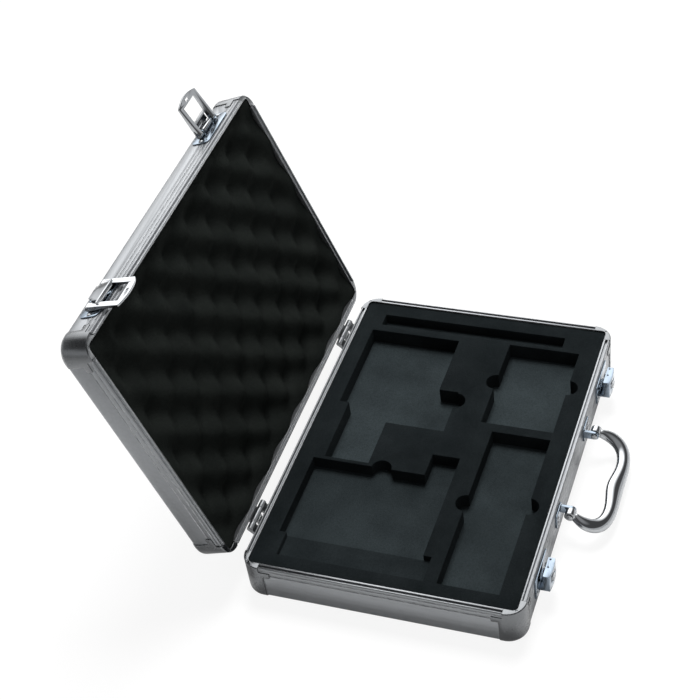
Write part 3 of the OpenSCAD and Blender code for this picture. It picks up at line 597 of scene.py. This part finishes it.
baseFoam = {
    "low": (-195.5, -135.5, 5.4), "high": (195.5, 135.5, 43.0), "cornerR": 5.0, "edgeR": 0.9,
    # x0, x1, y0, y1, depth
    "pockets": [(-150, -47.5, -30.5, 118.5, 14), (-48, -18, -30.5, -1.5, 14),
                (-179, -149, -39, 111, 6), (-43.5, 38, 60, 108, 18), (37, 152, 60, 118.5, 18),
                (16, 152, 18.5, 61, 18), (16, 74.5, -3, 19, 18), (162, 178.5, -94, 111, 12),
                (37, 157, -114, -37.5, 18), (-179, 26, -114, -52.5, 16.7)],
    "notches": [(-47.5, 44.5, 14), (62, -3, 18), (98, -37.5, 18), (104, -114, 18),
                (-75, -52.5, 16.7), (-66, -114, 16.7)],
    "notchR": 10.5,
    "drawnFor": 37.6,  # thickness of foam that the pocket depths are given for
    "over": 6, "softFrom": 40,
}


def cutWith(obj, cutter):
    mod = obj.modifiers.new("cut", "BOOLEAN")
    mod.operation = "DIFFERENCE"
    mod.solver = "EXACT"
    mod.object = cutter
    applyModifiers(obj)
    bpy.data.objects.remove(cutter, do_unlink=True)


def makeBaseFoam(d):
    foam = addBox("base_foam_pad", [v * mm for v in d["low"]], [v * mm for v in d["high"]])
    bm = editMesh(foam, "EDGE")
    for e in bm.edges:  # the four upright ones
        a, b = (v.co for v in e.verts)
        e.select_set(abs(a.z - b.z) > 10 * mm)
    bmesh.update_edit_mesh(foam.data)
    bpy.ops.mesh.bevel(offset=d["cornerR"] * mm, segments=8, affect="EDGES")
    leaveEdit()
    top = d["high"][2]
    kz = (top - d["low"][2]) / d["drawnFor"]
    end = (top + d["over"]) * mm
    for k, p in enumerate(d["pockets"]):
        cutWith(foam, addBox(f"cut{k}", (p[0] * mm, p[2] * mm, (top - p[4] * kz) * mm),
                             (p[1] * mm, p[3] * mm, end)))
    for k, p in enumerate(d["notches"]):
        cutWith(foam, addCylinder(f"cutRound{k}", (p[0] * mm, p[1] * mm), d["notchR"] * mm,
                                  (top - p[2] * kz) * mm, end))
    bev = foam.modifiers.new("softEdges", "BEVEL")
    bev.width = d["edgeR"] * mm
    bev.segments = 2
    bev.limit_method = "ANGLE"
    bev.angle_limit = math.radians(d["softFrom"])
    bev.use_clamp_overlap = True
    applyModifiers(foam)
    finishPiece(foam, "base", baseFoamMat, 35)
    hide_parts("base_foam")
    return foam


makeBaseFoam(baseFoam)
print("base foam cut")

# waved lid foam

lidFoam = {
    "halfX": 195.2, "halfY": 135.2, "wavesX": 14, "wavesY": 10, "height": 14.0, "peak": 34.2,
    "edgeShare": 0.3,  # height of the waves at the pad's edge, of the full height
    "nip": 1.3, "nipAlong": 0.07,  # how far the corners are drawn in, and from where
    "back": 5.4, "perWave": 10, "hingeY": 147.3, "hingeZ": 45.15, "rim": 45.3, "lidH": 35.0,
}


def waveShare(u, n, d):
    # shallower within half a wave of the pad's edge
    k = min(1.0, u, n - u)
    return d["edgeShare"] + (1 - d["edgeShare"]) * k * k * (3 - 2 * k)


def waveHeight(u, v, d):
    c = math.cos(math.pi * u) * math.cos(math.pi * v)
    share = waveShare(u, d["wavesX"], d) * waveShare(v, d["wavesY"], d)
    return d["peak"] - d["height"] / 2 * share * (1 - c)


def lidPoint(x, y, z, d):
    # from the lid standing on its top to its place, turned over and swung open
    y, z = -y, d["rim"] + d["lidH"] - z
    a = math.radians(-lidAngle)
    dy, dz = y - d["hingeY"], z - d["hingeZ"]
    return Vector((x, d["hingeY"] + dy * math.cos(a) - dz * math.sin(a),
                   d["hingeZ"] + dy * math.sin(a) + dz * math.cos(a))) * mm


def makeLidFoam(d):
    nx, ny = d["wavesX"] * d["perWave"], d["wavesY"] * d["perWave"]
    deselectAll()
    bpy.ops.mesh.primitive_grid_add(x_subdivisions=nx, y_subdivisions=ny, size=2)
    foam = bpy.context.object
    foam.name = "lid_foam_pad"
    bm = editMesh(foam, "EDGE")
    for e in bm.edges:
        e.select_set(e.is_boundary)
    bmesh.update_edit_mesh(foam.data)
    bpy.ops.mesh.extrude_region_move(TRANSFORM_OT_translate={"value": (0, 0, -0.5)})
    bpy.ops.mesh.edge_face_add()
    bm = bmesh.from_edit_mesh(foam.data)
    for v in bm.verts:
        rim = max(0.0, 1 - (1 - abs(v.co.x)) / d["nipAlong"]) * max(
            0.0, 1 - (1 - abs(v.co.y)) / d["nipAlong"])
        x, y = v.co.x * (d["halfX"] - d["nip"] * rim), v.co.y * (d["halfY"] - d["nip"] * rim)
        u, w = (v.co.x + 1) / 2 * d["wavesX"], (v.co.y + 1) / 2 * d["wavesY"]
        z = d["back"] if v.co.z < -0.2 else waveHeight(u, w, d)
        v.co = lidPoint(x, y, z, d)
    bmesh.update_edit_mesh(foam.data)
    bpy.ops.mesh.select_all(action="SELECT")
    bpy.ops.mesh.normals_make_consistent(inside=False)
    leaveEdit()
    finishPiece(foam, "lid", lidFoamMat, 50)
    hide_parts("lid_foam")
    return foam


makeLidFoam(lidFoam)
print("lid foam waved")

# handle bar

handleSet = {
    "pivotY": -153.7, "pivotZ": 32.0, "droop": 28.0, "eyeX": (53.9, 61.9), "eyeR": 5.6,
    "boreR": 2.05, "thick": 5.8, "around": 28, "eyeBevel": 0.5, "eyeSides": 64,
    "endThin": 1.1, "endRings": 3,  # the bar gets this much flatter over its last rings
    "line": [(57.8, 2.5, 3.5), (58.8, 7, 4.2), (60.2, 12, 6), (60.4, 18, 7.4), (58.8, 24.3, 7.8),
             (54.4, 30.3, 7.8), (47.4, 34.8, 7.5), (37.9, 37.4, 7.1), (27, 38.1, 7.3),
             (16, 37.2, 8), (6, 36.1, 8.9), (0, 35.9, 9.1)],
}


def handlePoints(d):
    half = d["line"]
    return half + [(-x, r, w) for x, r, w in reversed(half[:-1])]


def handlePlace(x, r, n, d):
    # x, reach and height off the handle's own plane, in the drooped position
    a = math.radians(d["droop"])
    y, z = -r, n
    return Vector((x, d["pivotY"] + y * math.cos(a) - z * math.sin(a),
                   d["pivotZ"] + y * math.sin(a) + z * math.cos(a))) * mm


def makeHandle(d):
    pts = handlePoints(d)
    last = len(pts) - 1
    deselectAll()
    bpy.ops.mesh.primitive_circle_add(vertices=d["around"], radius=1, fill_type="NGON")
    bar = bpy.context.object
    bar.name = "handle_bar"
    rings = []
    for i, (x, r, w) in enumerate(pts):
        a, b = pts[max(i - 1, 0)], pts[min(i + 1, last)]
        dx, dr = b[0] - a[0], b[1] - a[1]
        n = math.hypot(dx, dr)
        dx, dr = dx / n, dr / n
        t = d["thick"] - d["endThin"] * max(0, 1 - min(i, last - i) / d["endRings"])
        rings.append([handlePlace(x - dr * w * math.cos(q), r + dx * w * math.cos(q),
                                  t * math.sin(q), d)
                      for q in (2 * math.pi * k / d["around"] for k in range(d["around"]))])
    bm = editMesh(bar, "FACE")
    bm.faces.ensure_lookup_table()
    bm.faces[0].select_set(True)
    bmesh.update_edit_mesh(bar.data)
    for v, p in zip(bm.faces[0].verts, rings[0]):
        v.co = p
    for ring in rings[1:]:
        bpy.ops.mesh.extrude_region_move(TRANSFORM_OT_translate={"value": (0, 0, 0)})
        bm = bmesh.from_edit_mesh(bar.data)
        cap = [f for f in bm.faces if f.select][0]
        for v, p in zip(cap.verts, ring):
            v.co = p
        bmesh.update_edit_mesh(bar.data)
    leaveEdit()
    sub = bar.modifiers.new("smooth", "SUBSURF")
    sub.levels = sub.render_levels = 2
    applyModifiers(bar)
    eyes = []
    for s in (-1, 1):
        x0, x1 = d["eyeX"] if s > 0 else (-d["eyeX"][1], -d["eyeX"][0])
        deselectAll()
        bpy.ops.mesh.primitive_cylinder_add(
            vertices=d["eyeSides"], radius=d["eyeR"] * mm, depth=(x1 - x0) * mm,
            rotation=(0, math.pi / 2, 0),
            location=((x0 + x1) / 2 * mm, d["pivotY"] * mm, d["pivotZ"] * mm))
        eye = bpy.context.object
        placeInMesh(eye)
        bm = editMesh(eye, "FACE")
        for f in bm.faces:
            f.select_set(len(f.verts) > 4)
        bmesh.update_edit_mesh(eye.data)
        bpy.ops.mesh.inset(thickness=(d["eyeR"] - d["boreR"]) * mm)
        bpy.ops.mesh.bridge_edge_loops()
        leaveEdit()
        bev = eye.modifiers.new("softRim", "BEVEL")
        bev.width = d["eyeBevel"] * mm
        bev.segments = 3
        bev.limit_method = "ANGLE"
        applyModifiers(eye)
        eyes.append(eye)
    deselectAll()
    for e in eyes:
        e.select_set(True)
    bar.select_set(True)
    bpy.context.view_layer.objects.active = bar
    bpy.ops.object.join()
    bm = editMesh(bar)
    bpy.ops.mesh.select_all(action="SELECT")
    bpy.ops.mesh.normals_make_consistent(inside=False)
    leaveEdit()
    finishPiece(bar, "handle", metals["chrome"], 35)
    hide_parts("handle_grip")
    return bar


makeHandle(handleSet)
print("handle shaped")

# finishes of the carried-over nodes


def finishFor(name):
    if name.startswith("lid_rail"):
        return metals["railLid"] if name.endswith(("left", "right")) else metals["railX"]
    if name.startswith("base_rail"):
        return metals["railY"] if name.endswith(("left", "right")) else metals["railX"]
    if "corner" in name:
        return metals["corner"]
    if name.endswith("panel"):
        return panelMat
    if name.startswith(("hasp_l", "hasp_r")) or name.startswith("handle_grip"):
        return metals["chrome"]
    if name.startswith(("lock_catch", "lock_slide", "hinge", "hasp_pin", "handle_pin")):
        return metals["zinc"]
    if name.endswith("rivets"):
        return metals["zinc"]
    if name == "base_foam":
        return baseFoamMat
    if name == "lid_foam":
        return lidFoamMat
    return metals["plated"]


# fittings and frame with rounded edges: a merged copy of each CAD piece is bevelled

bodyOf = {n: b for b, names in frame["record"]["behaviour"]["bodies"].items() for n in names}
roundSet = {"merge": 0.01, "flat": 0.8, "segments": 2, "from": 35, "shade": 35}
softEdges = {  # widths in mm, by how the names start
    "hasp_l": 0.55, "hasp_r": 0.55, "hasp_plate": 0.3, "lock_body": 0.5, "lock_plate": 0.35,
    "lock_slide": 0.3, "handle_bracket": 0.6, "hinge_base": 0.35, "hinge_lid": 0.35,
    "base_corner": 0.25, "lid_corner": 0.25, "base_rail": 0.2, "lid_rail": 0.2,
    "handle_pin": 0.35, "hasp_pin": 0.2, "base_rivets": 0.25, "lid_rivets": 0.25,
}


def softEdged(name, width, mat):
    deselectAll()
    piece = frame["nodes"][name].copy()
    piece.data = piece.data.copy()
    piece.name = name + "_rounded"
    if "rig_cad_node" in piece:
        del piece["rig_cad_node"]
    bpy.context.scene.collection.objects.link(piece)
    only(piece)
    bpy.ops.object.mode_set(mode="EDIT")
    bpy.ops.mesh.select_mode(type="VERT")
    bpy.ops.mesh.select_all(action="SELECT")
    bpy.ops.mesh.remove_doubles(threshold=roundSet["merge"] * mm)
    bpy.ops.mesh.dissolve_limited(angle_limit=math.radians(roundSet["flat"]))
    leaveEdit()
    bev = piece.modifiers.new("softEdges", "BEVEL")
    bev.width = width * mm
    bev.segments = roundSet["segments"]
    bev.limit_method = "ANGLE"
    bev.angle_limit = math.radians(roundSet["from"])
    bev.use_clamp_overlap = True
    applyModifiers(piece)
    finishPiece(piece, bodyOf[name], mat, roundSet["shade"])
    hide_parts(name)
    return piece


for nodeName in sorted(frame["nodes"]):
    width = next((w for k, w in softEdges.items() if nodeName.startswith(k)), None)
    if width is not None:
        softEdged(nodeName, width, finishFor(nodeName))
print("edges rounded")

for nodeName, nodeObj in frame["nodes"].items():
    mat = finishFor(nodeName)
    if nodeObj.data.materials:
        for k in range(len(nodeObj.data.materials)):
            nodeObj.data.materials[k] = mat
    else:
        nodeObj.data.materials.append(mat)
print("node finishes set")

scene = bpy.context.scene
scene.view_settings.view_transform = "Standard"
